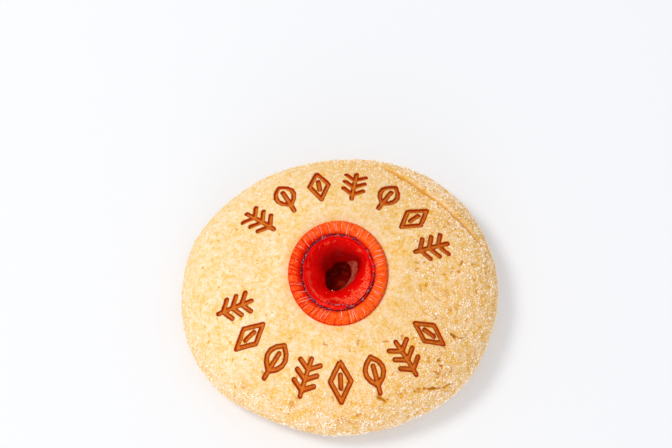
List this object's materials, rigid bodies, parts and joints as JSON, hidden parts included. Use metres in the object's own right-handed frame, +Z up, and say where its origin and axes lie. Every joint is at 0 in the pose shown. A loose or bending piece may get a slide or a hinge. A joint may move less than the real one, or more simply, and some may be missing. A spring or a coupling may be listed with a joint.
{
  "type": "jelly-centred biscuit",
  "caption": "Domed sugar-dusted biscuit with pressed ornaments and a pleated red jelly ring round an open glossy jelly bowl.",
  "frame": {"origin": "on the ground, under the middle of the biscuit's box", "axes": "+Z up out of the flat base, +X to the picture's right, +Y away from its camera"},
  "size_m": [0.0758, 0.069, 0.0224],
  "materials": {
    "crust": "matt baked dough with coarse sugar, browned in the pressed strokes",
    "jelly_band": "satin pleated jelly",
    "jelly_bowl": "wet glossy jelly",
    "seam": "dark satin strand"
  },
  "bodies": {
    "root": {"biscuit": "crust", "jelly_ring": "jelly_band", "jelly_bowl": "jelly_bowl", "seam_strand": "seam"}
  },
  "joints": []
}
